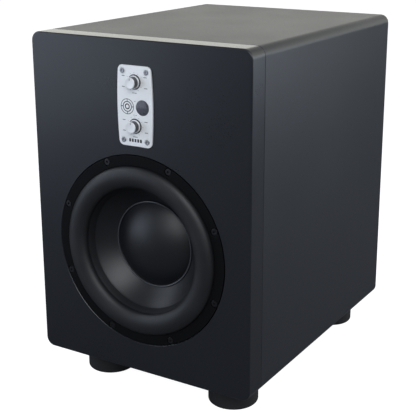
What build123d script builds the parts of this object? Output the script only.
from build123d import *
import math
import os

# Active subwoofer: a ported wooden cabinet on four rubber feet, with a ten-inch woofer and a small
# control plate in the front board, and an amplifier panel with its sockets in the rear board.
#
# Millimetres. X runs left to right seen from the front, Y from front to back, Z up. The origin is
# on the floor, under the middle of the whole object. "Depth" is measured back from the front
# board's face, and "out" is measured outwards from the rear board's face.

# ---------------------------------------------------------------- cabinet
BODY_W = 320.0  # outside width
BODY_H = 432.0  # outside height, feet left out
BODY_D = 407.0  # front face of the front board to the rear face of the cabinet
CORNER_R = 16.0  # the four long edges, seen from the front
BAFFLE_T = 30.0  # front board
WALL_T = 22.0  # side, top and bottom boards
REAR_T = 22.0  # rear board
FRONT_EDGE_R = 2.5  # round-over of the front board's front edge
REAR_EDGE_R = 1.5
JOINT_CHAMFER = 0.6  # each side of the line between the front board and the carcass
BRACE_T = 18.0  # window brace across the middle
BRACE_RIM = 40.0
BRACE_DEPTH = 200.0
BRACE_CORNER_R = 25.0
FOAM_T = 15.0
FOAM_MARGIN = 24.0

# ---------------------------------------------------------------- feet
FOOT_H = 42.0
FOOT_R = 33.0
FOOT_EDGE_R = 3.5
FOOT_SIDE_INSET = 61.0  # foot's axis from the cabinet's side
FRONT_FOOT_DEPTH = 67.0
REAR_FOOT_INSET = 37.0  # foot's axis from the cabinet's rear face
FOOT_WELL_R = 10.0
FOOT_WEB = 12.0  # rubber left above the screw's well
FOOT_SCREW_R = 2.5
FOOT_SCREW_HEAD_R = 6.0
FOOT_SCREW_HEAD_H = 3.5
FOOT_SCREW_BITE = 16.0

# ---------------------------------------------------------------- woofer
WOOFER_HEIGHT = 165.5  # its axis above the cabinet's underside
FRAME_R = 124.4
REBATE_GAP = 0.8
SEAT_W = 12.9  # flange that bears on the front board
TRIM_PROUD = 0.5
TRIM_T = 3.0
TRIM_EDGE = 0.7
FLANGE_T = 6.0
GASKET_T = 1.5
SCREW_INSET = 4.9  # screw circle from the frame's edge
SCREW_COUNT = 8
SCREW_R = 2.4
SCREW_HEAD_R = 4.5
SCREW_HEAD_T = 2.7
SCREW_SOCKET_R = 1.6
SCREW_SOCKET_DEPTH = 1.6
SCREW_BITE = 16.0
SCREW_GAP = 0.15
HEAD_GAP = 0.5

SURROUND_T = 1.2
SURROUND_LIP = 5.0  # glued outside the roll
ROLL_INSET = 16.0  # roll's outer edge from the frame's edge
ROLL_W = 26.9
TRIM_GAP = 0.2  # trim ring's bore to the roll
ROLL_HEIGHT = 9.6  # crest above the outer lip
ROLL_IN_DEPTH = 3.0  # roll's inner edge
COLLAR_W = 3.8  # steep collar that the surround's inner lip is glued to
COLLAR_L = 8.6
CONE_T = 1.6
CONE_NECK_DEPTH = 47.0
CONE_NECK_W = 1.6  # cone's neck to the former
CONE_BOW = 3.6  # how far the cone's face bows from a straight line
CAP_SHIFT = 0.85  # dust cap's foot, inwards from half way up the cone
CAP_T = 1.2
CAP_RISE = 19.5
CAP_BEAD = 2.6

COIL_R = 32.0  # inside of the former
FORMER_T = 0.4
FORMER_END_DEPTH = 104.0
WINDING_T = 1.0
WINDING_L = 16.0
POLE_GAP = 0.8  # pole to former
PLATE_GAP = 0.9  # winding to top plate
BASKET_DEPTH = 92.0
BASKET_WALL = 4.0
TUB_GAP = 1.5  # tub to the hole in the front board
BASKET_TUB_L = 7.5  # straight part of the tub behind the flange
BASKET_BASE_R = 67.0
BASKET_BASE_T = 6.0
BASKET_BORE_R = 45.0
WINDOW_COUNT = 6
WINDOW_W = 54.0
WINDOW_FROM = 24.0
WINDOW_TO = 54.0
VENT_W = 26.0
VENT_FROM = 72.0
VENT_TO = 84.0
SPIDER_DEPTH = 62.0
SPIDER_MARGIN = 5.3  # spider's edge to the inside of the tub
SPIDER_LIP = 4.0
SPIDER_T = 0.8
SPIDER_WAVES = 5
SPIDER_WAVE_H = 2.4
LANDING_T = 4.0
TOP_PLATE_R = 70.0
TOP_PLATE_T = 8.0
MAGNET_R = 78.0
MAGNET_BORE_R = 46.0
MAGNET_T = 28.0
YOKE_R = 72.0
YOKE_T = 9.0
POLE_VENT_R = 12.0
EXCURSION = 10.0  # cone's travel each way

TERMINAL_W = 26.0
TERMINAL_H = 16.0
TERMINAL_T = 2.0
TERMINAL_OUT = 18.0  # board's middle from the spider's edge
BLADE_W = 4.8
BLADE_T = 0.8
BLADE_L = 14.0
BLADE_PITCH = 14.0
LEAD_R = 1.0
LEAD_SLOT_W = 28.0  # gap in the tub that the leads and the terminal board sit in
LEAD_START_BACK = 1.6
LEAD_START_OUT = 3.0  # lead's start, outwards from half way up the cone

# ---------------------------------------------------------------- control plate
PLATE_ABOVE_WOOFER = 12.2  # from the woofer's frame to the plate's lower edge
PLATE_W = 47.6  # at the top and bottom
PLATE_BULGE = 2.2  # each long side at its middle
PLATE_H = 99.0
PLATE_T = 2.0
PLATE_CORNER_R = 6.0
PLATE_EDGE = 0.5
PLATE_SCREW_X = 17.3
PLATE_SCREW_Z = 42.4
PLATE_SCREW_R = 1.4
PLATE_SCREW_HEAD_R = 2.9
PLATE_SCREW_HEAD_T = 1.1
PLATE_SCREW_BITE = 12.0
LEVEL_Z = 29.8  # knob axes above the plate's middle
CROSSOVER_Z = -24.2
KNOB_R = 7.0
KNOB_L = 9.5
KNOB_SKIRT_R = 8.0
KNOB_SKIRT_T = 1.4
KNOB_CHAMFER = 0.6
KNOB_DISH = 0.3
KNOB_GAP = 0.5  # knob to plate
KNOB_BORE_DEPTH = 7.0
POINTER_W = 0.9
POINTER_DEPTH = 0.4
POINTER_FROM_R = 3.6
LIGHT_RING_IN_R = 8.3
LIGHT_RING_OUT_R = 9.3
LIGHT_RING_PROUD = 0.2
LENS_GAP = 0.05
SENSOR_X = 11.1
SENSOR_Z = -0.8
SENSOR_R = 9.5
SENSOR_PROUD = 0.1
SHAFT_R = 3.0
SHAFT_GAP = 0.05
BUSHING_R = 4.2
POT_W = 16.0
POT_T = 7.0
POT_DEPTH = 3.0
BOARD_T = 1.6
CONTROL_BOARD_DEPTH = 12.0
HOUSING_W = 30.0
HOUSING_H = 84.0
HOUSING_WALL = 1.6
RECEIVER_W = 6.0
HOUSING_DEPTH = 34.0
HOUSING_GAP = 0.3
GLAND_R = 4.0

# ---------------------------------------------------------------- bass port
PORT_HEIGHT = 65.0  # its axis above the cabinet's underside
PORT_R = 30.0
PORT_WALL = 3.0
PORT_CLEARANCE = 42.0  # woofer's back to the tube's inner end
PORT_FLARE_R = 46.0
PORT_FLARE_L = 14.0
PORT_FLANGE_R = 48.0
PORT_FLANGE_T = 3.0
PORT_FIT = 0.4

# ---------------------------------------------------------------- amplifier panel
AMP_HEIGHT = 270.0  # its middle above the cabinet's underside
AMP_W = 240.0
AMP_H = 264.0
AMP_T = 3.0
AMP_CORNER_R = 6.0
AMP_GASKET_T = 1.5
AMP_RIM = 13.0  # panel that overlaps the rear board
AMP_SCREW_INSET = 7.0
AMP_SCREW_R = 1.9
AMP_SCREW_HEAD_R = 3.8
AMP_SCREW_HEAD_T = 2.2
AMP_SCREW_BITE = 15.0
SINK_W = 200.0
SINK_H = 130.0
SINK_BASE_T = 5.0
SINK_Z = 53.0  # its middle above the panel's middle
FIN_T = 2.0
FIN_H = 22.0
FIN_COUNT = 17

XLR_Z = -44.0
XLR_IN_X = (88.0, 56.0)
XLR_OUT_X = (16.0, -16.0)
XLR_FLANGE_W = 26.0
XLR_FLANGE_H = 31.0
XLR_FLANGE_T = 2.0
XLR_CORNER_R = 2.5
XLR_BARREL_R = 11.8
XLR_BARREL_L = 20.0
XLR_CUP_R = 9.6
XLR_CUP_DEPTH = 14.0
XLR_INSERT_R = 8.1
XLR_INSERT_SUNK = 0.5
XLR_CONTACT_R = 1.4
XLR_PIN_R = 1.2
XLR_PIN_CIRCLE_R = 4.9
XLR_PIN_RECESS = 5.0  # pin ends below the flange's face
XLR_PIN_TAIL = 4.0
XLR_SCREW_X = 9.5
XLR_SCREW_Z = 12.0
LATCH_W = 7.0
LATCH_H = 3.6
LATCH_Z = 10.6
LATCH_L = 9.0
LATCH_PROUD = 2.0
LATCH_GAP = 0.2
LATCH_TRAVEL = 1.5

INLET_X = -78.0
INLET_Z = -100.0
INLET_FLANGE_W = 50.0
INLET_BODY_W = 30.0
INLET_BODY_H = 35.0
INLET_FLANGE_T = 2.5
INLET_BODY_L = 26.0
INLET_CAVITY_W = 24.0
INLET_CAVITY_H = 17.0
INLET_CAVITY_Z = 6.0
INLET_CAVITY_DEPTH = 15.0
INLET_SCREW_X = 20.0
MAINS_PIN_W = 2.0
MAINS_PIN_H = 3.6
MAINS_PIN_L = 10.0
MAINS_PIN_X = 7.0
FUSE_W = 26.0
FUSE_H = 8.6
FUSE_Z = -10.0
FUSE_L = 16.0
FUSE_GAP = 0.2
FUSE_LIP = 1.2
FUSE_TRAY_W = 21.0
FUSE_TRAY_L = 6.4
FUSE_TRAY_DEPTH = 5.8
FUSE_TRAY_BACK = 3.0  # tray's far end from the drawer's
CARTRIDGE_R = 2.6
CARTRIDGE_L = 20.0
CARTRIDGE_CAP_L = 5.0

ROCKER_X = -22.0
ROCKER_W = 14.6
ROCKER_REACH = 11.2  # half its height
ROCKER_PIVOT_OUT = 1.5
ROCKER_END_OUT = 9.0
ROCKER_WAIST_OUT = 6.6
ROCKER_BACK_OUT = -3.0
ROCKER_TILT = 10.0  # degrees each side of level
ROCKER_WELL_H = 25.6
ROCKER_WELL_W = 15.4
ROCKER_WELL_DEPTH = 14.0
ROCKER_FRAME_W = 22.0
ROCKER_FRAME_H = 32.0
ROCKER_FRAME_T = 2.0
ROCKER_BODY_L = 24.0
ROCKER_AXLE_R = 1.5
AXLE_GAP = 0.1

PHASE_X = -70.0
PHASE_FRAME_W = 24.0
PHASE_FRAME_H = 9.0
PHASE_FRAME_T = 1.0
PHASE_BODY_W = 14.0
PHASE_BODY_H = 7.0
PHASE_BODY_L = 10.0
PHASE_SLOT_H = 4.0
PHASE_TRAVEL = 4.0
PHASE_KNOB_W = 4.0
PHASE_KNOB_PROUD = 3.0
PHASE_GAP = 0.2
PHASE_SLOT_DEPTH = 5.0

BOARD_W = 190.0
BOARD_H = 180.0
BOARD_Z = 22.0  # board's middle above the panel's middle
BOARD_OUT = -40.0
POST_R = 3.0
POST_INSET = 8.0
TRANSFORMER_R = 45.0
TRANSFORMER_HOLE_R = 14.0
TRANSFORMER_H = 38.0
TRANSFORMER_EDGE_R = 8.0
TRANSFORMER_PAD_R = 36.0
TRANSFORMER_PAD_T = 1.0
TRANSFORMER_X = 42.0
TRANSFORMER_Z = 32.0
WASHER_R = 22.0
WASHER_T = 2.0
BOLT_R = 3.0
BOLT_END = 5.0  # bolt that shows behind the board
CAPACITOR_R = 15.0
CAPACITOR_H = 42.0
CAPACITOR_X = (-30.0, -66.0)
TRANSISTOR_W = 16.0
TRANSISTOR_H = 20.0
TRANSISTOR_T = 5.0
TRANSISTOR_X = (-75.0, -25.0, 25.0, 75.0)
CABLE_R = 2.6

# ---------------------------------------------------------------- worked-out places
FRONT_REACH = PLATE_T + KNOB_GAP + KNOB_L  # knobs stand this far in front of the front board
SINK_OUT = AMP_GASKET_T + AMP_T
REAR_REACH = SINK_OUT + SINK_BASE_T + FIN_H  # fins stand this far behind the rear board
FRONT_Y = FRONT_REACH - (FRONT_REACH + BODY_D + REAR_REACH) / 2
BACK_Y = FRONT_Y + BODY_D
CARCASS_Y = FRONT_Y + BAFFLE_T
INSIDE_BACK_Y = BACK_Y - REAR_T
BODY_Z = FOOT_H
BODY_MID_Z = BODY_Z + BODY_H / 2
INSIDE_W = BODY_W - 2 * WALL_T
INSIDE_H = BODY_H - 2 * WALL_T
WOOFER_Z = BODY_Z + WOOFER_HEIGHT
PLATE_Z = WOOFER_Z + FRAME_R + PLATE_ABOVE_WOOFER + PLATE_H / 2
PORT_Z = BODY_Z + PORT_HEIGHT
AMP_Z = BODY_Z + AMP_HEIGHT

FLANGE_DEPTH = TRIM_T - TRIM_PROUD  # front of the woofer's flange
GASKET_DEPTH = FLANGE_DEPTH + FLANGE_T
REBATE_DEPTH = GASKET_DEPTH + GASKET_T
REBATE_R = FRAME_R + REBATE_GAP
CUTOUT_R = FRAME_R - SEAT_W
BASKET_TUB_R = CUTOUT_R - TUB_GAP
SCREW_CIRCLE_R = FRAME_R - SCREW_INSET
ROLL_OUT_R = FRAME_R - ROLL_INSET
ROLL_IN_R = ROLL_OUT_R - ROLL_W
TRIM_BORE_R = ROLL_OUT_R + TRIM_GAP
SURROUND_LIP_DEPTH = FLANGE_DEPTH - SURROUND_T
FORMER_R = COIL_R + FORMER_T
WINDING_R = FORMER_R + WINDING_T
GAP_R = WINDING_R + PLATE_GAP
POLE_R = COIL_R - POLE_GAP
MAGNET_DEPTH = BASKET_DEPTH + TOP_PLATE_T
YOKE_DEPTH = MAGNET_DEPTH + MAGNET_T
WINDING_MID = BASKET_DEPTH + TOP_PLATE_T / 2
LANDING_DEPTH = SPIDER_DEPTH + SPIDER_T
CONE_EDGE_R = ROLL_IN_R - COLLAR_W
CONE_EDGE_DEPTH = ROLL_IN_DEPTH + COLLAR_L
COLLAR_SLANT = math.hypot(COLLAR_W, COLLAR_L)
COLLAR_NORMAL = (COLLAR_L / COLLAR_SLANT, COLLAR_W / COLLAR_SLANT)  # away from the listener
CONE_NECK_R = FORMER_R + CONE_NECK_W
CONE_SLOPE = math.atan2(CONE_NECK_DEPTH - CONE_EDGE_DEPTH, CONE_EDGE_R - CONE_NECK_R)
CONE_MID_R = (CONE_EDGE_R + CONE_NECK_R) / 2 + CONE_BOW * math.sin(CONE_SLOPE)
CONE_MID_DEPTH = (CONE_EDGE_DEPTH + CONE_NECK_DEPTH) / 2 + CONE_BOW * math.cos(CONE_SLOPE)
CAP_R = (CONE_EDGE_R + CONE_NECK_R) / 2 - CAP_SHIFT
TUB_END_DEPTH = GASKET_DEPTH + BASKET_TUB_L
BASE_IN_DEPTH = BASKET_DEPTH - BASKET_BASE_T
TUB_TAPER = (BASKET_TUB_R - BASKET_BASE_R) / (BASE_IN_DEPTH - TUB_END_DEPTH)
LANDING_WALL_R = BASKET_TUB_R - TUB_TAPER * (LANDING_DEPTH - TUB_END_DEPTH)
SPIDER_R = LANDING_WALL_R - BASKET_WALL - SPIDER_MARGIN
TERMINAL_R = SPIDER_R + TERMINAL_OUT
WOOFER_BACK_DEPTH = YOKE_DEPTH + YOKE_T
PORT_END_Y = FRONT_Y + WOOFER_BACK_DEPTH + PORT_CLEARANCE

AT_WOOFER = Pos(0, FRONT_Y, WOOFER_Z)
AT_PLATE = Pos(0, FRONT_Y, PLATE_Z)
AT_AMP = Pos(0, BACK_Y, AMP_Z)
KNOB_HEIGHTS = {"level": LEVEL_Z, "crossover": CROSSOVER_Z}
FOOT_PLACES = {
    f"foot_{end}_{side}": (sign * (BODY_W / 2 - FOOT_SIDE_INSET), y)
    for end, y in (("front", FRONT_Y + FRONT_FOOT_DEPTH), ("rear", BACK_Y - REAR_FOOT_INSET))
    for side, sign in (("left", -1), ("right", 1))
}


# ---------------------------------------------------------------- shapes that many parts share
def along_y(sketch, y_from, y_to):
    """A sketch drawn in X and Z, extruded from one Y to another."""
    return extrude(Plane.XZ.offset(-y_to) * sketch, amount=y_to - y_from)


def rod(radius, y_from, y_to, x=0.0, z=0.0):
    return along_y(Pos(x, z) * Circle(radius), y_from, y_to)


def slab(width, height, y_from, y_to, x=0.0, z=0.0, corner=0.0):
    outline = RectangleRounded(width, height, corner) if corner else Rectangle(width, height)
    return along_y(Pos(x, z) * outline, y_from, y_to)


def turned(start, *moves):
    """A half-section in (radius, Y), turned about Y. A move is a point, or (via, end) for an arc."""
    edges = []
    at = start
    for move in (*moves, start):
        if isinstance(move[0], tuple):
            via, end = move
            edges.append(ThreePointArc(at, via, end))
        else:
            end = move
            if end != at:
                edges.append(Line(at, end))
        at = end
    return revolve(make_face(Curve() + edges), Axis.Y)


def tube(outer, inner, y_from, y_to):
    return turned((inner, y_from), (outer, y_from), (outer, y_to), (inner, y_to))


def group(solids):
    """Separate solids kept in one node."""
    return Compound(children=[s for item in solids for s in item.solids()])


def around(count, radius, start_angle=0.0):
    """Evenly spaced (x, z) points on a circle about Y."""
    for k in range(count):
        angle = math.radians(start_angle + 360.0 * k / count)
        yield radius * math.cos(angle), radius * math.sin(angle)


def screw(head_r, head_t, shank_r, bite, socket_r, socket_depth):
    """A screw along Y: head in front of Y = 0, shank behind it, with a hexagon socket."""
    head = fillet(rod(head_r, -head_t, 0).edges().sort_by(Axis.Y)[0], head_t * 0.45)
    body = head + rod(shank_r, 0, bite)
    socket = along_y(RegularPolygon(socket_r, 6), -head_t, -head_t + socket_depth)
    return body - socket


def screw_hole(shank_r, y_from, y_to, x, z):
    return rod(shank_r + SCREW_GAP, y_from, y_to, x, z)


# ---------------------------------------------------------------- cabinet boards
def body_block(y_from, y_to):
    return slab(BODY_W, BODY_H, y_from, y_to, 0, BODY_MID_Z, CORNER_R)


def plate_outline():
    """Control plate: straight top and bottom, long sides bowed outwards."""
    half_w = PLATE_W / 2
    half_h = PLATE_H / 2
    corners = [(-half_w, half_h), (half_w, half_h), (half_w, -half_h), (-half_w, -half_h)]
    bow = half_w + PLATE_BULGE
    edges = [
        Line(corners[0], corners[1]),
        ThreePointArc(corners[1], (bow, 0), corners[2]),
        Line(corners[2], corners[3]),
        ThreePointArc(corners[3], (-bow, 0), corners[0]),
    ]
    face = make_face(Curve() + edges)
    return fillet(face.vertices(), PLATE_CORNER_R)


def woofer_screw_points():
    return list(around(SCREW_COUNT, SCREW_CIRCLE_R, 180.0 / SCREW_COUNT))


def plate_screw_points():
    return [(sx * PLATE_SCREW_X, sz * PLATE_SCREW_Z) for sx in (-1, 1) for sz in (-1, 1)]


def baffle():
    board = body_block(FRONT_Y, CARCASS_Y)
    board = fillet(board.faces().sort_by(Axis.Y)[0].edges(), FRONT_EDGE_R)
    board = chamfer(board.faces().sort_by(Axis.Y)[-1].edges(), JOINT_CHAMFER)
    board -= AT_WOOFER * rod(REBATE_R, 0, REBATE_DEPTH)
    board -= AT_WOOFER * rod(CUTOUT_R, 0, BAFFLE_T)
    for x, z in woofer_screw_points():
        board -= AT_WOOFER * screw_hole(SCREW_R, REBATE_DEPTH, FLANGE_DEPTH + SCREW_BITE + 1, x, z)
    board -= AT_PLATE * slab(HOUSING_W + HOUSING_GAP, HOUSING_H + HOUSING_GAP, 0, BAFFLE_T)
    for x, z in plate_screw_points():
        board -= AT_PLATE * screw_hole(PLATE_SCREW_R, 0, PLATE_SCREW_BITE, x, z)
    return board


def carcass_boards():
    """Four boards mitred at the corners, each with half of the rounded edge."""
    block = body_block(CARCASS_Y, BACK_Y)
    block = fillet(block.faces().sort_by(Axis.Y)[-1].edges(), REAR_EDGE_R)
    block = chamfer(block.faces().sort_by(Axis.Y)[0].edges(), JOINT_CHAMFER)
    out_x, out_z = BODY_W / 2, BODY_H / 2
    in_x, in_z = INSIDE_W / 2, INSIDE_H / 2
    shapes = {
        "side_board_left": [(-in_x, in_z), (-out_x, out_z), (-out_x, -out_z), (-in_x, -in_z)],
        "side_board_right": [(in_x, in_z), (out_x, out_z), (out_x, -out_z), (in_x, -in_z)],
        "top_board": [(-in_x, in_z), (-out_x, out_z), (out_x, out_z), (in_x, in_z)],
        "bottom_board": [(-in_x, -in_z), (-out_x, -out_z), (out_x, -out_z), (in_x, -in_z)],
    }
    boards = {}
    for name, corners in shapes.items():
        outline = make_face(Polyline(*corners, close=True))
        boards[name] = block & along_y(Pos(0, BODY_MID_Z) * outline, CARCASS_Y, BACK_Y)
    for x, y in FOOT_PLACES.values():
        hole = Cylinder(FOOT_SCREW_R + SCREW_GAP, FOOT_SCREW_BITE)
        boards["bottom_board"] -= Pos(x, y, BODY_Z + FOOT_SCREW_BITE / 2) * hole
    return boards


def amp_opening(y_from, y_to):
    return AT_AMP * slab(AMP_W - 2 * AMP_RIM, AMP_H - 2 * AMP_RIM, y_from, y_to)


def amp_rim_points():
    """Screws round the amplifier panel's rim."""
    x = AMP_W / 2 - AMP_SCREW_INSET
    z = AMP_H / 2 - AMP_SCREW_INSET
    sides = [(sx * x, h * z) for sx in (-1, 1) for h in (-1, -1 / 3, 1 / 3, 1)]
    return sides + [(0.0, -z), (0.0, z)]


def rear_board():
    board = slab(INSIDE_W, INSIDE_H, INSIDE_BACK_Y, BACK_Y, 0, BODY_MID_Z)
    board -= amp_opening(-REAR_T, 0)
    board -= rod(PORT_R + PORT_WALL + PORT_FIT, INSIDE_BACK_Y, BACK_Y, 0, PORT_Z)
    for x, z in amp_rim_points():
        board -= AT_AMP * screw_hole(AMP_SCREW_R, -AMP_SCREW_BITE, 0, x, z)
    return board


def window_brace():
    y_from = FRONT_Y + BRACE_DEPTH
    board = slab(INSIDE_W, INSIDE_H, y_from, y_from + BRACE_T, 0, BODY_MID_Z)
    window_w, window_h = INSIDE_W - 2 * BRACE_RIM, INSIDE_H - 2 * BRACE_RIM
    board -= slab(window_w, window_h, y_from, y_from + BRACE_T, 0, BODY_MID_Z, BRACE_CORNER_R)
    return board - rod(PORT_R + PORT_WALL + PORT_FIT, y_from, y_from + BRACE_T, 0, PORT_Z)


def damping_foam():
    """Foam sheets on both side walls, in front of the brace and behind it."""
    front = (CARCASS_Y + FOAM_MARGIN, FRONT_Y + BRACE_DEPTH - FOAM_MARGIN)
    rear = (FRONT_Y + BRACE_DEPTH + BRACE_T + FOAM_MARGIN, INSIDE_BACK_Y - FOAM_MARGIN)
    height = INSIDE_H - 2 * FOAM_MARGIN
    x = (INSIDE_W - FOAM_T) / 2
    return group(
        slab(FOAM_T, height, y_from, y_to, side * x, BODY_MID_Z)
        for side in (-1, 1)
        for y_from, y_to in (front, rear)
    )


# ---------------------------------------------------------------- feet
def foot(x, y):
    block = Pos(0, 0, FOOT_H / 2) * Cylinder(FOOT_R, FOOT_H)
    block = fillet(block.edges().sort_by(Axis.Z)[0], FOOT_EDGE_R)
    well_h = FOOT_H - FOOT_WEB
    block -= Pos(0, 0, well_h / 2) * Cylinder(FOOT_WELL_R, well_h)
    block -= Pos(0, 0, FOOT_H / 2) * Cylinder(FOOT_SCREW_R + SCREW_GAP, FOOT_H)
    return Pos(x, y, 0) * block


def foot_screws():
    upright = Rot(90, 0, 0) * screw(
        FOOT_SCREW_HEAD_R,
        FOOT_SCREW_HEAD_H,
        FOOT_SCREW_R,
        FOOT_WEB + FOOT_SCREW_BITE - 1,
        FOOT_SCREW_R,
        FOOT_SCREW_HEAD_H / 2,
    )
    return group(Pos(x, y, FOOT_H - FOOT_WEB) * upright for x, y in FOOT_PLACES.values())


# ---------------------------------------------------------------- woofer, fixed pieces
def woofer_gasket():
    ring = tube(FRAME_R, CUTOUT_R, GASKET_DEPTH, REBATE_DEPTH)
    for x, z in woofer_screw_points():
        ring -= screw_hole(SCREW_R, GASKET_DEPTH, REBATE_DEPTH, x, z)
    return AT_WOOFER * ring


def woofer_basket():
    """Cast frame: flange, tapered tub with windows, spider landing and a base for the magnet."""
    tub_end = TUB_END_DEPTH
    base_in = BASE_IN_DEPTH
    inner_r = BASKET_TUB_R - BASKET_WALL
    frame = turned(
        (inner_r, FLANGE_DEPTH),
        (FRAME_R, FLANGE_DEPTH),
        (FRAME_R, GASKET_DEPTH),
        (BASKET_TUB_R, GASKET_DEPTH),
        (BASKET_TUB_R, tub_end),
        (BASKET_BASE_R, base_in),
        (BASKET_BASE_R, BASKET_DEPTH),
        (BASKET_BORE_R, BASKET_DEPTH),
        (BASKET_BORE_R, base_in),
        (BASKET_BASE_R - BASKET_WALL, base_in),
        (inner_r, tub_end),
    )
    for k in range(WINDOW_COUNT):
        turn = Rot(0, 30 + 360 * k / WINDOW_COUNT, 0)
        middle = BASKET_BORE_R + FRAME_R / 2
        window = Box(FRAME_R, WINDOW_TO - WINDOW_FROM, WINDOW_W)
        window = Pos(middle, (WINDOW_FROM + WINDOW_TO) / 2, 0) * window
        vent = Box(FRAME_R, VENT_TO - VENT_FROM, VENT_W)
        vent = Pos(middle, (VENT_FROM + VENT_TO) / 2, 0) * vent
        frame -= turn * fillet(window.edges().filter_by(Axis.X), 8.0)
        frame -= turn * fillet(vent.edges().filter_by(Axis.X), 4.0)
    slot_from = WINDOW_TO - 4
    slot = Box(LEAD_SLOT_W, LANDING_DEPTH - slot_from, TERMINAL_R - SPIDER_R)
    frame -= Pos(0, (slot_from + LANDING_DEPTH) / 2, (TERMINAL_R + SPIDER_R) / 2) * slot
    wall_r = LANDING_WALL_R - TUB_TAPER * LANDING_T - BASKET_WALL / 2
    frame += tube(wall_r, SPIDER_R - SPIDER_LIP, LANDING_DEPTH, LANDING_DEPTH + LANDING_T)
    ledge_l = TERMINAL_R + TERMINAL_H / 2 - SPIDER_R
    ledge = Box(TERMINAL_W, LANDING_T, ledge_l)
    frame += Pos(0, LANDING_DEPTH + LANDING_T / 2, SPIDER_R + ledge_l / 2) * ledge
    for x, z in woofer_screw_points():
        frame -= screw_hole(SCREW_R, FLANGE_DEPTH, GASKET_DEPTH, x, z)
    return AT_WOOFER * frame


def woofer_trim_ring():
    """Flat ring that covers the flange and clamps the surround's lip."""
    lip_r = ROLL_OUT_R + SURROUND_LIP + HEAD_GAP / 2
    ring = turned(
        (TRIM_BORE_R, SURROUND_LIP_DEPTH),
        (TRIM_BORE_R, TRIM_EDGE - TRIM_PROUD),
        (TRIM_BORE_R + TRIM_EDGE, -TRIM_PROUD),
        (FRAME_R - TRIM_EDGE, -TRIM_PROUD),
        (FRAME_R, TRIM_EDGE - TRIM_PROUD),
        (FRAME_R, FLANGE_DEPTH),
        (lip_r, FLANGE_DEPTH),
        (lip_r, SURROUND_LIP_DEPTH),
    )
    for x, z in woofer_screw_points():
        ring -= rod(SCREW_HEAD_R + HEAD_GAP, -TRIM_PROUD, FLANGE_DEPTH, x, z)
    return AT_WOOFER * ring


def woofer_screws():
    one = Pos(0, FLANGE_DEPTH, 0) * screw(
        SCREW_HEAD_R, SCREW_HEAD_T, SCREW_R, SCREW_BITE, SCREW_SOCKET_R, SCREW_SOCKET_DEPTH
    )
    return group(AT_WOOFER * Pos(x, 0, z) * one for x, z in woofer_screw_points())


def top_plate():
    return AT_WOOFER * tube(TOP_PLATE_R, GAP_R, BASKET_DEPTH, MAGNET_DEPTH)


def magnet():
    ring = tube(MAGNET_R, MAGNET_BORE_R, MAGNET_DEPTH, YOKE_DEPTH)
    return AT_WOOFER * chamfer(ring.edges().filter_by(GeomType.CIRCLE), 1.0)


def pole_yoke():
    """Back plate and pole piece in one, vented through the middle."""
    return AT_WOOFER * turned(
        (POLE_VENT_R, BASKET_DEPTH),
        (POLE_R, BASKET_DEPTH),
        (POLE_R, YOKE_DEPTH),
        (YOKE_R, YOKE_DEPTH),
        (YOKE_R, YOKE_DEPTH + YOKE_T - 3),
        (YOKE_R - 5, YOKE_DEPTH + YOKE_T),
        (POLE_VENT_R + 4, YOKE_DEPTH + YOKE_T),
        (POLE_VENT_R, YOKE_DEPTH + YOKE_T - 4),
    )


def terminal_board():
    """Board with two blades for the speaker cable, on the basket's ledge."""
    y_to = LANDING_DEPTH
    y_from = y_to - TERMINAL_T
    board = slab(TERMINAL_W, TERMINAL_H, y_from, y_to, 0, TERMINAL_R)
    blade_z = TERMINAL_R + (BLADE_L - BLADE_W) / 2 + 2
    blades = [
        slab(BLADE_W, BLADE_L, y_from - BLADE_T, y_from, side * BLADE_PITCH / 2, blade_z)
        for side in (-1, 1)
    ]
    return AT_WOOFER * group([board, *blades])


# ---------------------------------------------------------------- woofer, moving pieces
def circle_through(a, b, c):
    """Centre and radius of the circle through three points."""
    (ax, ay), (bx, by), (cx, cy) = a, b, c
    d = 2 * (ax * (by - cy) + bx * (cy - ay) + cx * (ay - by))
    a2, b2, c2 = ax * ax + ay * ay, bx * bx + by * by, cx * cx + cy * cy
    ux = (a2 * (by - cy) + b2 * (cy - ay) + c2 * (ay - by)) / d
    uy = (a2 * (cx - bx) + b2 * (ax - cx) + c2 * (bx - ax)) / d
    return (ux, uy), math.hypot(ax - ux, ay - uy)


def behind_collar(distance):
    """The collar's two ends, moved back from the surround's front surface."""
    shift_r, shift_y = (distance * n for n in COLLAR_NORMAL)
    top = (ROLL_IN_R + shift_r, ROLL_IN_DEPTH + shift_y)
    foot = (CONE_EDGE_R + shift_r, CONE_EDGE_DEPTH + shift_y)
    return top, foot


CONE_POINTS = (
    behind_collar(SURROUND_T)[1],
    (CONE_MID_R, CONE_MID_DEPTH),
    (CONE_NECK_R, CONE_NECK_DEPTH),
)


def cone_depth(radius):
    """Depth of the cone's front surface at a radius."""
    (centre_r, centre_y), bow = circle_through(*CONE_POINTS)
    side = 1 if CONE_MID_DEPTH > centre_y else -1
    return centre_y + side * math.sqrt(bow * bow - (radius - centre_r) ** 2)


def cone():
    """Bowed cone with a steep collar at its edge and a short neck on the former."""
    front_top, edge = behind_collar(SURROUND_T)
    back_top, back_edge = behind_collar(SURROUND_T + CONE_T)
    _, mid, neck = CONE_POINTS
    return AT_WOOFER * turned(
        front_top,
        edge,
        (mid, neck),
        (FORMER_R, CONE_NECK_DEPTH),
        (FORMER_R, CONE_NECK_DEPTH + CONE_T + 2),
        (CONE_NECK_R, CONE_NECK_DEPTH + CONE_T + 2),
        ((mid[0] + CONE_T / 2, mid[1] + CONE_T), back_edge),
        back_top,
    )


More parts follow.
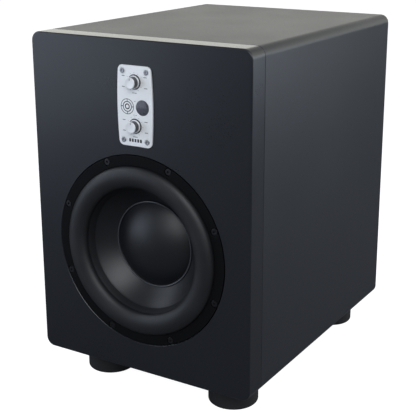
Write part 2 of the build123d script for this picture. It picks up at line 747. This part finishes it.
def dust_cap():
    """Dome glued to the cone, with a raised bead round its foot."""
    foot_depth = cone_depth(CAP_R)
    bead_r = CAP_R + CAP_BEAD
    apex = foot_depth - CAP_RISE
    middle_r = CAP_R / math.sqrt(2)
    rim_depth = foot_depth - CAP_T
    (_, centre_y), dome_r = circle_through((CAP_R, rim_depth), (0.0, apex), (-CAP_R, rim_depth))
    outer_mid = (middle_r, centre_y - math.sqrt(dome_r**2 - middle_r**2))
    inner_r = dome_r - CAP_T
    inner_foot_r = CAP_R - CAP_T
    inner_foot = centre_y - math.sqrt(inner_r**2 - inner_foot_r**2)
    inner_mid = (middle_r, centre_y - math.sqrt(inner_r**2 - middle_r**2))
    bead_mid = ((CAP_R + bead_r) / 2, (foot_depth + cone_depth(bead_r)) / 2 - CAP_T - 0.5)
    return AT_WOOFER * turned(
        (0.0, apex),
        (outer_mid, (CAP_R, foot_depth - CAP_T)),
        (bead_mid, (bead_r, cone_depth(bead_r))),
        (CAP_R, foot_depth),
        (inner_foot_r, cone_depth(inner_foot_r)),
        (inner_foot_r, inner_foot),
        (inner_mid, (0.0, apex + CAP_T)),
    )


def surround():
    """Half-roll of rubber between the flange and the cone's collar."""
    roll_mid_r = (ROLL_OUT_R + ROLL_IN_R) / 2
    crest = SURROUND_LIP_DEPTH - ROLL_HEIGHT
    lip_r = ROLL_OUT_R + SURROUND_LIP
    collar_top, collar_foot = behind_collar(SURROUND_T)
    return AT_WOOFER * turned(
        (lip_r, SURROUND_LIP_DEPTH),
        (ROLL_OUT_R, SURROUND_LIP_DEPTH),
        ((roll_mid_r, crest), (ROLL_IN_R, ROLL_IN_DEPTH)),
        (CONE_EDGE_R, CONE_EDGE_DEPTH),
        collar_foot,
        collar_top,
        ((roll_mid_r, crest + SURROUND_T), (ROLL_OUT_R - SURROUND_T, FLANGE_DEPTH)),
        (lip_r, FLANGE_DEPTH),
    )


def voice_coil():
    former = tube(FORMER_R, COIL_R, CONE_NECK_DEPTH, FORMER_END_DEPTH)
    winding = tube(WINDING_R, FORMER_R, WINDING_MID - WINDING_L / 2, WINDING_MID + WINDING_L / 2)
    return AT_WOOFER * group([former, winding])


def spider():
    """Corrugated disc that centres the voice coil."""
    start, end = FORMER_R, SPIDER_R
    first, last = start + SPIDER_LIP, end - SPIDER_LIP
    step = (last - first) / (2 * SPIDER_WAVES)

    def waves(depth, backwards):
        order = range(2 * SPIDER_WAVES)
        for k in reversed(order) if backwards else order:
            side = 1 if k % 2 else -1
            via = (first + (k + 0.5) * step, depth + side * SPIDER_WAVE_H / 2)
            stop = (first + (k if backwards else k + 1) * step, depth)
            yield via, stop

    back = SPIDER_DEPTH + SPIDER_T
    return AT_WOOFER * turned(
        (start, SPIDER_DEPTH),
        (first, SPIDER_DEPTH),
        *waves(SPIDER_DEPTH, False),
        (end, SPIDER_DEPTH),
        (end, back),
        (last, back),
        *waves(back, True),
        (start, back),
    )


def tinsel_leads():
    """Two flexible leads from the cone's back to the terminal blades."""
    start_r = (CONE_MID_R + CONE_NECK_R) / 2 + LEAD_START_OUT
    start = cone_depth(start_r) + CONE_T + LEAD_START_BACK
    end_z = TERMINAL_R - TERMINAL_H / 2 + LEAD_R
    blade_depth = LANDING_DEPTH - TERMINAL_T - LEAD_R
    leads = []
    for side in (-1, 1):
        x = side * BLADE_PITCH / 2
        points = [
            (x, start, start_r),
            (x, start + 12, start_r + 4),
            (x, blade_depth, end_z - 14),
            (x, blade_depth, end_z),
        ]
        path = FilletPolyline(*points, radius=5.0)
        leads.append(sweep(Plane(path @ 0, z_dir=path % 0) * Circle(LEAD_R), path))
    return AT_WOOFER * group(leads)


# ---------------------------------------------------------------- controls
def control_plate():
    plate = along_y(plate_outline(), -PLATE_T, 0)
    plate = chamfer(plate.faces().sort_by(Axis.Y)[0].edges(), PLATE_EDGE)
    for z in KNOB_HEIGHTS.values():
        plate -= rod(LIGHT_RING_OUT_R + LENS_GAP, -PLATE_T, 0, 0, z)
    plate -= rod(SENSOR_R + LENS_GAP, -PLATE_T, 0, SENSOR_X, SENSOR_Z)
    for x, z in plate_screw_points():
        plate -= screw_hole(PLATE_SCREW_R, -PLATE_T, 0, x, z)
    return AT_PLATE * plate


def control_plate_screws():
    one = screw(
        PLATE_SCREW_HEAD_R,
        PLATE_SCREW_HEAD_T,
        PLATE_SCREW_R,
        PLATE_SCREW_BITE,
        1.3,
        PLATE_SCREW_HEAD_T * 0.7,
    )
    return group(AT_PLATE * Pos(x, -PLATE_T, z) * one for x, z in plate_screw_points())


def knob(height):
    """Turned knob with a thin skirt, a dished face and an engraved pointer."""
    back = -PLATE_T - KNOB_GAP
    front = back - KNOB_L
    body = turned(
        (0.0, front + KNOB_DISH),
        ((KNOB_R / 2, front + KNOB_DISH / 4), (KNOB_R - KNOB_CHAMFER, front)),
        (KNOB_R, front + KNOB_CHAMFER),
        (KNOB_R, back - KNOB_SKIRT_T),
        (KNOB_SKIRT_R - 0.3, back - KNOB_SKIRT_T),
        (KNOB_SKIRT_R, back - KNOB_SKIRT_T + 0.3),
        (KNOB_SKIRT_R, back),
        (SHAFT_R, back),
        (SHAFT_R, back - KNOB_BORE_DEPTH),
        (0.0, back - KNOB_BORE_DEPTH),
    )
    length = KNOB_R - POINTER_FROM_R + 1
    pointer_back = front + POINTER_DEPTH + KNOB_DISH
    body -= slab(POINTER_W, length, front, pointer_back, 0, POINTER_FROM_R + length / 2)
    return AT_PLATE * Pos(0, 0, height) * body


def pot_shaft(height):
    front = -PLATE_T - KNOB_GAP - KNOB_BORE_DEPTH
    return AT_PLATE * rod(SHAFT_R, front, POT_DEPTH + POT_T / 2, 0, height)


def potentiometers():
    """Square cases with a round bushing that guides the shaft."""
    cases = []
    for z in KNOB_HEIGHTS.values():
        case = slab(POT_W, POT_W, POT_DEPTH, POT_DEPTH + POT_T, 0, z, 1.0)
        case += rod(BUSHING_R, -PLATE_T, POT_DEPTH, 0, z)
        case -= rod(SHAFT_R + SHAFT_GAP, -PLATE_T, POT_DEPTH + POT_T / 2 + SHAFT_GAP, 0, z)
        cases.append(case)
    return AT_PLATE * group(cases)


def light_rings():
    rings = []
    for z in KNOB_HEIGHTS.values():
        ring = tube(LIGHT_RING_OUT_R, LIGHT_RING_IN_R, -PLATE_T - LIGHT_RING_PROUD, POT_DEPTH)
        rings.append(Pos(0, 0, z) * ring)
    return AT_PLATE * group(rings)


def sensor_window():
    lens = rod(SENSOR_R, -PLATE_T - SENSOR_PROUD, 0, SENSOR_X, SENSOR_Z)
    return AT_PLATE * lens


def control_board():
    """Circuit board with the remote control's receiver behind the window."""
    width = HOUSING_W - 2 * HOUSING_WALL - 1
    height = HOUSING_H - 2 * HOUSING_WALL - 1
    board = slab(width, height, CONTROL_BOARD_DEPTH, CONTROL_BOARD_DEPTH + BOARD_T)
    receiver_x = (width - RECEIVER_W) / 2 - 0.8
    receiver = slab(RECEIVER_W, 7, CONTROL_BOARD_DEPTH - 5, CONTROL_BOARD_DEPTH, receiver_x, SENSOR_Z)
    supports = [
        slab(6, 6, POT_DEPTH + POT_T, CONTROL_BOARD_DEPTH, 0, z) for z in KNOB_HEIGHTS.values()
    ]
    plug = slab(16, 6, CONTROL_BOARD_DEPTH + BOARD_T, CONTROL_BOARD_DEPTH + BOARD_T + 7)
    return AT_PLATE * group([board, receiver, plug, *supports])


def control_housing():
    """Airtight cup behind the control plate, with a gland for the cable."""
    inner_w = HOUSING_W - 2 * HOUSING_WALL
    inner_h = HOUSING_H - 2 * HOUSING_WALL
    cup = slab(HOUSING_W, HOUSING_H, 0, HOUSING_DEPTH)
    cup -= slab(inner_w, inner_h, 0, HOUSING_DEPTH - HOUSING_WALL)
    cup -= rod(GLAND_R, HOUSING_DEPTH - HOUSING_WALL, HOUSING_DEPTH)
    return AT_PLATE * cup


# ---------------------------------------------------------------- bass port
def port_tube():
    """Straight tube through the rear board and the brace, flared at its inner end."""
    end = PORT_END_Y
    outer = PORT_R + PORT_WALL
    flare = 6.0
    return Pos(0, 0, PORT_Z) * turned(
        (PORT_R, BACK_Y),
        (PORT_R, end + flare),
        ((PORT_R + flare * 0.3, end + flare * 0.3), (PORT_R + flare, end)),
        (outer + flare, end),
        (outer + flare, end + 2),
        (outer, end + flare + 2),
        (outer, BACK_Y),
    )


def port_flange():
    """Flared trim ring on the rear face, seated over the tube's end."""
    return Pos(0, 0, PORT_Z) * turned(
        (PORT_R, BACK_Y),
        ((PORT_R + 1.2, BACK_Y + 2.6), (PORT_R + 5.5, BACK_Y + PORT_FLANGE_T + 1.5)),
        (PORT_FLANGE_R - 4, BACK_Y + PORT_FLANGE_T + 1),
        ((PORT_FLANGE_R - 1, BACK_Y + PORT_FLANGE_T), (PORT_FLANGE_R, BACK_Y + 1)),
        (PORT_FLANGE_R, BACK_Y),
    )


# ---------------------------------------------------------------- amplifier panel
def xlr_face():
    return SINK_OUT + XLR_FLANGE_T


def xlr_screw_points():
    points = []
    for x in (*XLR_IN_X, *XLR_OUT_X):
        points += [(x + XLR_SCREW_X, XLR_Z - XLR_SCREW_Z), (x - XLR_SCREW_X, XLR_Z + XLR_SCREW_Z)]
    return points


def inlet_screw_points():
    return [(INLET_X + side * INLET_SCREW_X, INLET_Z) for side in (-1, 1)]


def amp_panel():
    panel = slab(AMP_W, AMP_H, AMP_GASKET_T, SINK_OUT, 0, 0, AMP_CORNER_R)
    panel = chamfer(panel.faces().sort_by(Axis.Y)[-1].edges(), 0.5)
    for x in (*XLR_IN_X, *XLR_OUT_X):
        panel -= rod(XLR_BARREL_R + HEAD_GAP, 0, SINK_OUT, x, XLR_Z)
    for x in XLR_IN_X:
        panel -= latch_slot(x, HEAD_GAP, 0, SINK_OUT)
    panel -= slab(INLET_BODY_W + HEAD_GAP, INLET_BODY_H + HEAD_GAP, 0, SINK_OUT, INLET_X, INLET_Z)
    panel -= slab(ROCKER_FRAME_W - 3, ROCKER_FRAME_H - 3, 0, SINK_OUT, ROCKER_X, INLET_Z)
    panel -= slab(PHASE_BODY_W + HEAD_GAP, PHASE_BODY_H + HEAD_GAP, 0, SINK_OUT, PHASE_X, XLR_Z)
    for x, z in (*amp_rim_points(), *xlr_screw_points(), *inlet_screw_points()):
        panel -= screw_hole(AMP_SCREW_R, 0, SINK_OUT, x, z)
    return AT_AMP * panel


def amp_gasket():
    ring = slab(AMP_W - 2, AMP_H - 2, 0, AMP_GASKET_T, 0, 0, AMP_CORNER_R - 1)
    ring -= slab(AMP_W - 2 * AMP_RIM, AMP_H - 2 * AMP_RIM, 0, AMP_GASKET_T)
    for x, z in amp_rim_points():
        ring -= screw_hole(AMP_SCREW_R, 0, AMP_GASKET_T, x, z)
    return AT_AMP * ring


def amp_panel_screws():
    def outward(bite):
        return Rot(0, 0, 180) * screw(AMP_SCREW_HEAD_R, AMP_SCREW_HEAD_T, AMP_SCREW_R, bite, 1.5, 1.3)

    rim = outward(AMP_SCREW_BITE)
    short = outward(10.0)
    screws = [Pos(x, SINK_OUT, z) * rim for x, z in amp_rim_points()]
    screws += [Pos(x, xlr_face(), z) * short for x, z in xlr_screw_points()]
    screws += [Pos(x, SINK_OUT + INLET_FLANGE_T, z) * short for x, z in inlet_screw_points()]
    return AT_AMP * group(screws)


def heat_sink():
    """Extruded base with upright fins."""
    sink = slab(SINK_W, SINK_H, SINK_OUT, SINK_OUT + SINK_BASE_T, 0, SINK_Z)
    pitch = (SINK_W - FIN_T) / (FIN_COUNT - 1)
    for k in range(FIN_COUNT):
        x = (FIN_T - SINK_W) / 2 + k * pitch
        sink += slab(FIN_T, SINK_H, SINK_OUT + SINK_BASE_T, REAR_REACH, x, SINK_Z)
    return AT_AMP * sink


def xlr_body(x):
    """Flange with rounded corners in front of the panel, barrel behind it."""
    face = xlr_face()
    body = slab(XLR_FLANGE_W, XLR_FLANGE_H, SINK_OUT, face, x, XLR_Z, XLR_CORNER_R)
    body += rod(XLR_BARREL_R, face - XLR_BARREL_L, SINK_OUT, x, XLR_Z)
    for dx, dz in ((XLR_SCREW_X, -XLR_SCREW_Z), (-XLR_SCREW_X, XLR_SCREW_Z)):
        body -= screw_hole(AMP_SCREW_R, SINK_OUT, face, x + dx, XLR_Z + dz)
    return body


def xlr_contact_points():
    """Three contacts: two level with the axis and one below it."""
    return [(XLR_PIN_CIRCLE_R, 0.0), (-XLR_PIN_CIRCLE_R, 0.0), (0.0, -XLR_PIN_CIRCLE_R)]


def latch_slot(x, gap, y_from, y_to):
    return slab(LATCH_W + 2 * gap, LATCH_H + 2 * gap, y_from, y_to, x, XLR_Z + LATCH_Z)


def xlr_inputs():
    """Cups with a slot for the latch, each round an insert with three contacts."""
    face = xlr_face()
    floor = face - XLR_CUP_DEPTH
    pieces = []
    for x in XLR_IN_X:
        body = xlr_body(x) - rod(XLR_CUP_R, floor, face, x, XLR_Z)
        body -= latch_slot(x, LATCH_GAP, face - LATCH_L, face)
        insert = rod(XLR_INSERT_R, floor, face - XLR_INSERT_SUNK, x, XLR_Z)
        for dx, dz in xlr_contact_points():
            insert -= rod(XLR_CONTACT_R, floor, face, x + dx, XLR_Z + dz)
        pieces += [body, insert]
    return AT_AMP * group(pieces)


def xlr_latch(x):
    tip = xlr_face() + LATCH_PROUD
    tab = latch_slot(x, 0.0, tip - LATCH_L, tip)
    return AT_AMP * chamfer(tab.faces().sort_by(Axis.Y)[-1].edges(), 0.5)


def xlr_outputs():
    """Cups with three pins each."""
    face = xlr_face()
    floor = face - XLR_CUP_DEPTH
    pieces = []
    for x in XLR_OUT_X:
        body = xlr_body(x) - rod(XLR_CUP_R, floor, face, x, XLR_Z)
        pins = []
        for dx, dz in xlr_contact_points():
            tail = face - XLR_BARREL_L - XLR_PIN_TAIL
            body -= rod(XLR_PIN_R, face - XLR_BARREL_L, floor, x + dx, XLR_Z + dz)
            pin = rod(XLR_PIN_R, tail, face - XLR_PIN_RECESS, x + dx, XLR_Z + dz)
            pins.append(chamfer(pin.edges().sort_by(Axis.Y)[-1], 0.4))
        pieces += [body, *pins]
    return AT_AMP * group(pieces)


def mains_inlet():
    """Appliance inlet: a six-sided cavity with three blades above a slot for the fuse drawer."""
    face = SINK_OUT + INLET_FLANGE_T
    floor = face - INLET_CAVITY_DEPTH
    back = face - INLET_BODY_L
    body = slab(INLET_FLANGE_W, INLET_BODY_H - 9, SINK_OUT, face, INLET_X, INLET_Z, 4.0)
    body += slab(INLET_BODY_W, INLET_BODY_H, back, face, INLET_X, INLET_Z, 1.5)
    half_w, half_h, cut = INLET_CAVITY_W / 2, INLET_CAVITY_H / 2, 5.0
    outline = Polyline(
        (-half_w, -half_h),
        (half_w, -half_h),
        (half_w, half_h - cut),
        (half_w - cut, half_h),
        (cut - half_w, half_h),
        (-half_w, half_h - cut),
        close=True,
    )
    cavity_z = INLET_Z + INLET_CAVITY_Z
    body -= along_y(Pos(INLET_X, cavity_z) * make_face(outline), floor, face)
    body -= slab(FUSE_W, FUSE_H, face - FUSE_L, face, INLET_X, INLET_Z + FUSE_Z)
    blades = []
    for dx, dz in ((-MAINS_PIN_X, -1.5), (MAINS_PIN_X, -1.5), (0.0, 4.0)):
        place = (INLET_X + dx, cavity_z + dz)
        body -= slab(MAINS_PIN_W, MAINS_PIN_H, back, floor, *place)
        blades.append(slab(MAINS_PIN_W, MAINS_PIN_H, back - 6, floor + MAINS_PIN_L, *place))
    for x, z in inlet_screw_points():
        body -= screw_hole(AMP_SCREW_R, SINK_OUT, face, x, z)
    return AT_AMP * group([body, *blades])


def fuse_drawer():
    """Drawer that slides out of the inlet, with an open tray for the fuse and a finger lip."""
    face = SINK_OUT + INLET_FLANGE_T
    place = (INLET_X, INLET_Z + FUSE_Z)
    width, height = FUSE_W - 2 * FUSE_GAP, FUSE_H - 2 * FUSE_GAP
    end = face - FUSE_L + FUSE_GAP
    drawer = slab(width, height, end, face, *place)
    tray_from = end + FUSE_TRAY_BACK
    tray_z = place[1] + (height - FUSE_TRAY_DEPTH) / 2
    drawer -= slab(FUSE_TRAY_W, FUSE_TRAY_DEPTH, tray_from, tray_from + FUSE_TRAY_L, INLET_X, tray_z)
    drawer += slab(width, height, face, face + FUSE_LIP, *place, 1.0)
    return AT_AMP * drawer


def fuse():
    """Glass cartridge with a metal cap on each end, lying in the drawer's tray."""
    y = SINK_OUT + INLET_FLANGE_T - FUSE_L + FUSE_GAP + FUSE_TRAY_BACK + FUSE_TRAY_L / 2
    tray_floor = INLET_Z + FUSE_Z + FUSE_H / 2 - FUSE_GAP - FUSE_TRAY_DEPTH
    glass_l = CARTRIDGE_L - 2 * CARTRIDGE_CAP_L
    glass = Cylinder(CARTRIDGE_R - 0.15, glass_l, rotation=(0, 90, 0))
    cap = Cylinder(CARTRIDGE_R, CARTRIDGE_CAP_L, rotation=(0, 90, 0))
    shift = (glass_l + CARTRIDGE_CAP_L) / 2
    pieces = [glass, Pos(-shift, 0, 0) * cap, Pos(shift, 0, 0) * cap]
    return AT_AMP * Pos(INLET_X, y, tray_floor + CARTRIDGE_R) * group(pieces)


def rocker_frame():
    """Switch case with a well for the rocker and blind seats for its two trunnions."""
    face = SINK_OUT + ROCKER_FRAME_T
    frame = slab(ROCKER_FRAME_W, ROCKER_FRAME_H, SINK_OUT, face, ROCKER_X, INLET_Z, 1.5)
    case_w, case_h = ROCKER_FRAME_W - 3.4, ROCKER_FRAME_H - 3.4
    frame += slab(case_w, case_h, face - ROCKER_BODY_L, SINK_OUT, ROCKER_X, INLET_Z)
    frame -= slab(ROCKER_WELL_W, ROCKER_WELL_H, face - ROCKER_WELL_DEPTH, face, ROCKER_X, INLET_Z)
    seat = Cylinder(ROCKER_AXLE_R + AXLE_GAP, ROCKER_WELL_W + 2, rotation=(0, 90, 0))
    return AT_AMP * (frame - Pos(ROCKER_X, ROCKER_PIVOT_OUT, INLET_Z) * seat)


def power_rocker():
    """Rocker at rest with its upper end out, turned about its trunnions."""
    profile = Polyline(
        (ROCKER_BACK_OUT - ROCKER_PIVOT_OUT, -ROCKER_REACH * 0.6),
        (ROCKER_END_OUT - ROCKER_PIVOT_OUT, -ROCKER_REACH),
        (ROCKER_WAIST_OUT - ROCKER_PIVOT_OUT, 0.0),
        (ROCKER_END_OUT - ROCKER_PIVOT_OUT, ROCKER_REACH),
        (ROCKER_BACK_OUT - ROCKER_PIVOT_OUT, ROCKER_REACH * 0.6),
        close=True,
    )
    body = extrude(Plane.YZ * make_face(profile), amount=ROCKER_W / 2, both=True)
    body += Cylinder(ROCKER_AXLE_R, ROCKER_WELL_W + 1.6, rotation=(0, 90, 0))
    return AT_AMP * Pos(ROCKER_X, ROCKER_PIVOT_OUT, INLET_Z) * Rot(-ROCKER_TILT, 0, 0) * body


def phase_switch():
    face = SINK_OUT + PHASE_FRAME_T
    case = slab(PHASE_FRAME_W, PHASE_FRAME_H, SINK_OUT, face, PHASE_X, XLR_Z, 1.0)
    case += slab(PHASE_BODY_W, PHASE_BODY_H, face - PHASE_BODY_L, SINK_OUT, PHASE_X, XLR_Z)
    slot_w = PHASE_KNOB_W + PHASE_TRAVEL + 2 * PHASE_GAP
    slot_h = PHASE_SLOT_H + 2 * PHASE_GAP
    case -= slab(slot_w, slot_h, face - PHASE_SLOT_DEPTH, face, PHASE_X, XLR_Z)
    return AT_AMP * case


def phase_slider():
    face = SINK_OUT + PHASE_FRAME_T
    x = PHASE_X - PHASE_TRAVEL / 2
    tip = face + PHASE_KNOB_PROUD
    knob_block = slab(PHASE_KNOB_W, PHASE_SLOT_H, face - PHASE_SLOT_DEPTH + PHASE_GAP, tip, x, XLR_Z)
    return AT_AMP * chamfer(knob_block.faces().sort_by(Axis.Y)[-1].edges(), 0.4)


# ---------------------------------------------------------------- electronics
def board_posts():
    half_w = BOARD_W / 2 - POST_INSET
    half_h = BOARD_H / 2 - POST_INSET
    return [(sx * half_w, BOARD_Z + sz * half_h) for sx in (-1, 1) for sz in (-1, 1)]


def amp_board():
    """Circuit board on four posts behind the amplifier panel."""
    board = slab(BOARD_W, BOARD_H, BOARD_OUT, BOARD_OUT + BOARD_T, 0, BOARD_Z)
    board -= rod(BOLT_R + SCREW_GAP, BOARD_OUT, BOARD_OUT + BOARD_T, TRANSFORMER_X, TRANSFORMER_Z)
    posts = [rod(POST_R, BOARD_OUT + BOARD_T, AMP_GASKET_T, x, z) for x, z in board_posts()]
    return AT_AMP * group([board, *posts])


def transformer():
    """Toroid on a soft pad, held to the board by a dished washer and a bolt."""
    place = Pos(TRANSFORMER_X, BOARD_OUT, TRANSFORMER_Z)
    top = -TRANSFORMER_PAD_T - TRANSFORMER_H
    pad = tube(TRANSFORMER_PAD_R, TRANSFORMER_HOLE_R, -TRANSFORMER_PAD_T, 0)
    ring = tube(TRANSFORMER_R, TRANSFORMER_HOLE_R, top, -TRANSFORMER_PAD_T)
    ring = fillet(ring.edges().filter_by(GeomType.CIRCLE), TRANSFORMER_EDGE_R)
    washer = rod(WASHER_R, top - WASHER_T, top)
    bolt = rod(BOLT_R, top, BOARD_T + BOLT_END)
    head = along_y(RegularPolygon(5.0, 6), top - WASHER_T - 4, top - WASHER_T)
    return AT_AMP * place * group([pad, ring, washer + bolt + head])


def board_components():
    """Filter capacitors on the board and power transistors clamped behind the heat sink."""
    pieces = []
    for x in CAPACITOR_X:
        can = rod(CAPACITOR_R, BOARD_OUT - CAPACITOR_H, BOARD_OUT, x, TRANSFORMER_Z)
        pieces.append(fillet(can.edges().sort_by(Axis.Y)[0], 1.5))
    inner = AMP_GASKET_T
    for x in TRANSISTOR_X:
        pieces.append(slab(TRANSISTOR_W, TRANSISTOR_H, inner - TRANSISTOR_T, inner, x, SINK_Z))
    return AT_AMP * group(pieces)


def cable(points, radii):
    path = FilletPolyline(*points, radius=radii)
    print("cable radii", [round(r, 1) for r in radii], "length", round(path.length))
    return sweep(Plane(path @ 0, z_dir=path % 0) * Circle(CABLE_R), path)


def bend_radii(points):
    """Largest arc that each corner's two runs leave room for."""
    radii = []
    for before, corner, after in zip(points, points[1:], points[2:]):
        first = Vector(*corner) - Vector(*before)
        second = Vector(*after) - Vector(*corner)
        turn = math.radians(first.get_angle(second))
        radii.append(0.45 * min(first.length, second.length) / math.tan(turn / 2))
    return radii


def speaker_cable():
    """From the woofer's terminal blades over the magnet to the amplifier's board."""
    y0 = FRONT_Y + LANDING_DEPTH - TERMINAL_T - CABLE_R
    z0 = WOOFER_Z + TERMINAL_R + BLADE_L
    end_y = BACK_Y + BOARD_OUT
    points = [
        (0, y0, z0),
        (0, y0 + 4, z0 + 32),
        (2, y0 + 34, z0 + 52),
        (-2, y0 + 90, z0 + 48),
        (-8, y0 + 146, z0 + 30),
        (-16, y0 + 200, z0 + 8),
        (-24, end_y - 40, z0 - 34),
        (-24, end_y, z0 - 34),
    ]
    return cable(points, bend_radii(points))


def control_cable():
    """From the control board through the housing's gland to the amplifier's board."""
    y0 = FRONT_Y + CONTROL_BOARD_DEPTH + BOARD_T + 7
    end_y = BACK_Y + BOARD_OUT
    span = end_y - y0
    points = [
        (0, y0, PLATE_Z),
        (0, y0 + span * 0.16, PLATE_Z),
        (-4, y0 + span * 0.34, PLATE_Z - 12),
        (-14, y0 + span * 0.52, PLATE_Z - 16),
        (-30, y0 + span * 0.70, PLATE_Z - 10),
        (-44, y0 + span * 0.86, PLATE_Z - 2),
        (-44, end_y, PLATE_Z - 2),
    ]
    return cable(points, bend_radii(points))


# ---------------------------------------------------------------- every node
def build():
    nodes = {"baffle": baffle(), **carcass_boards(), "rear_board": rear_board()}
    nodes["window_brace"] = window_brace()
    nodes["damping_foam"] = damping_foam()
    for name, (x, y) in FOOT_PLACES.items():
        nodes[name] = foot(x, y)
    nodes["foot_screws"] = foot_screws()
    fixed = (
        woofer_gasket, woofer_basket, woofer_trim_ring, woofer_screws, top_plate, magnet, pole_yoke,
        terminal_board, cone, dust_cap, surround, voice_coil, spider, tinsel_leads, control_plate,
        control_plate_screws, potentiometers, light_rings, sensor_window, control_board,
        control_housing, port_tube, port_flange, amp_panel, amp_gasket, amp_panel_screws, heat_sink,
        xlr_inputs, xlr_outputs, mains_inlet, fuse_drawer, rocker_frame, power_rocker, phase_switch,
        phase_slider, fuse, amp_board, transformer, board_components, speaker_cable,
        control_cable,
    )
    for make in fixed:
        nodes[make.__name__] = make()
    for name, height in KNOB_HEIGHTS.items():
        nodes[f"{name}_knob"] = knob(height)
        nodes[f"{name}_pot_shaft"] = pot_shaft(height)
    for side, x in zip(("left", "right"), sorted(XLR_IN_X)):
        nodes[f"xlr_latch_{side}"] = xlr_latch(x)
    return nodes


def main():
    os.makedirs("parts", exist_ok=True)
    for name, shape in build().items():
        export_step(shape, os.path.join("parts", name + ".step"))


main()
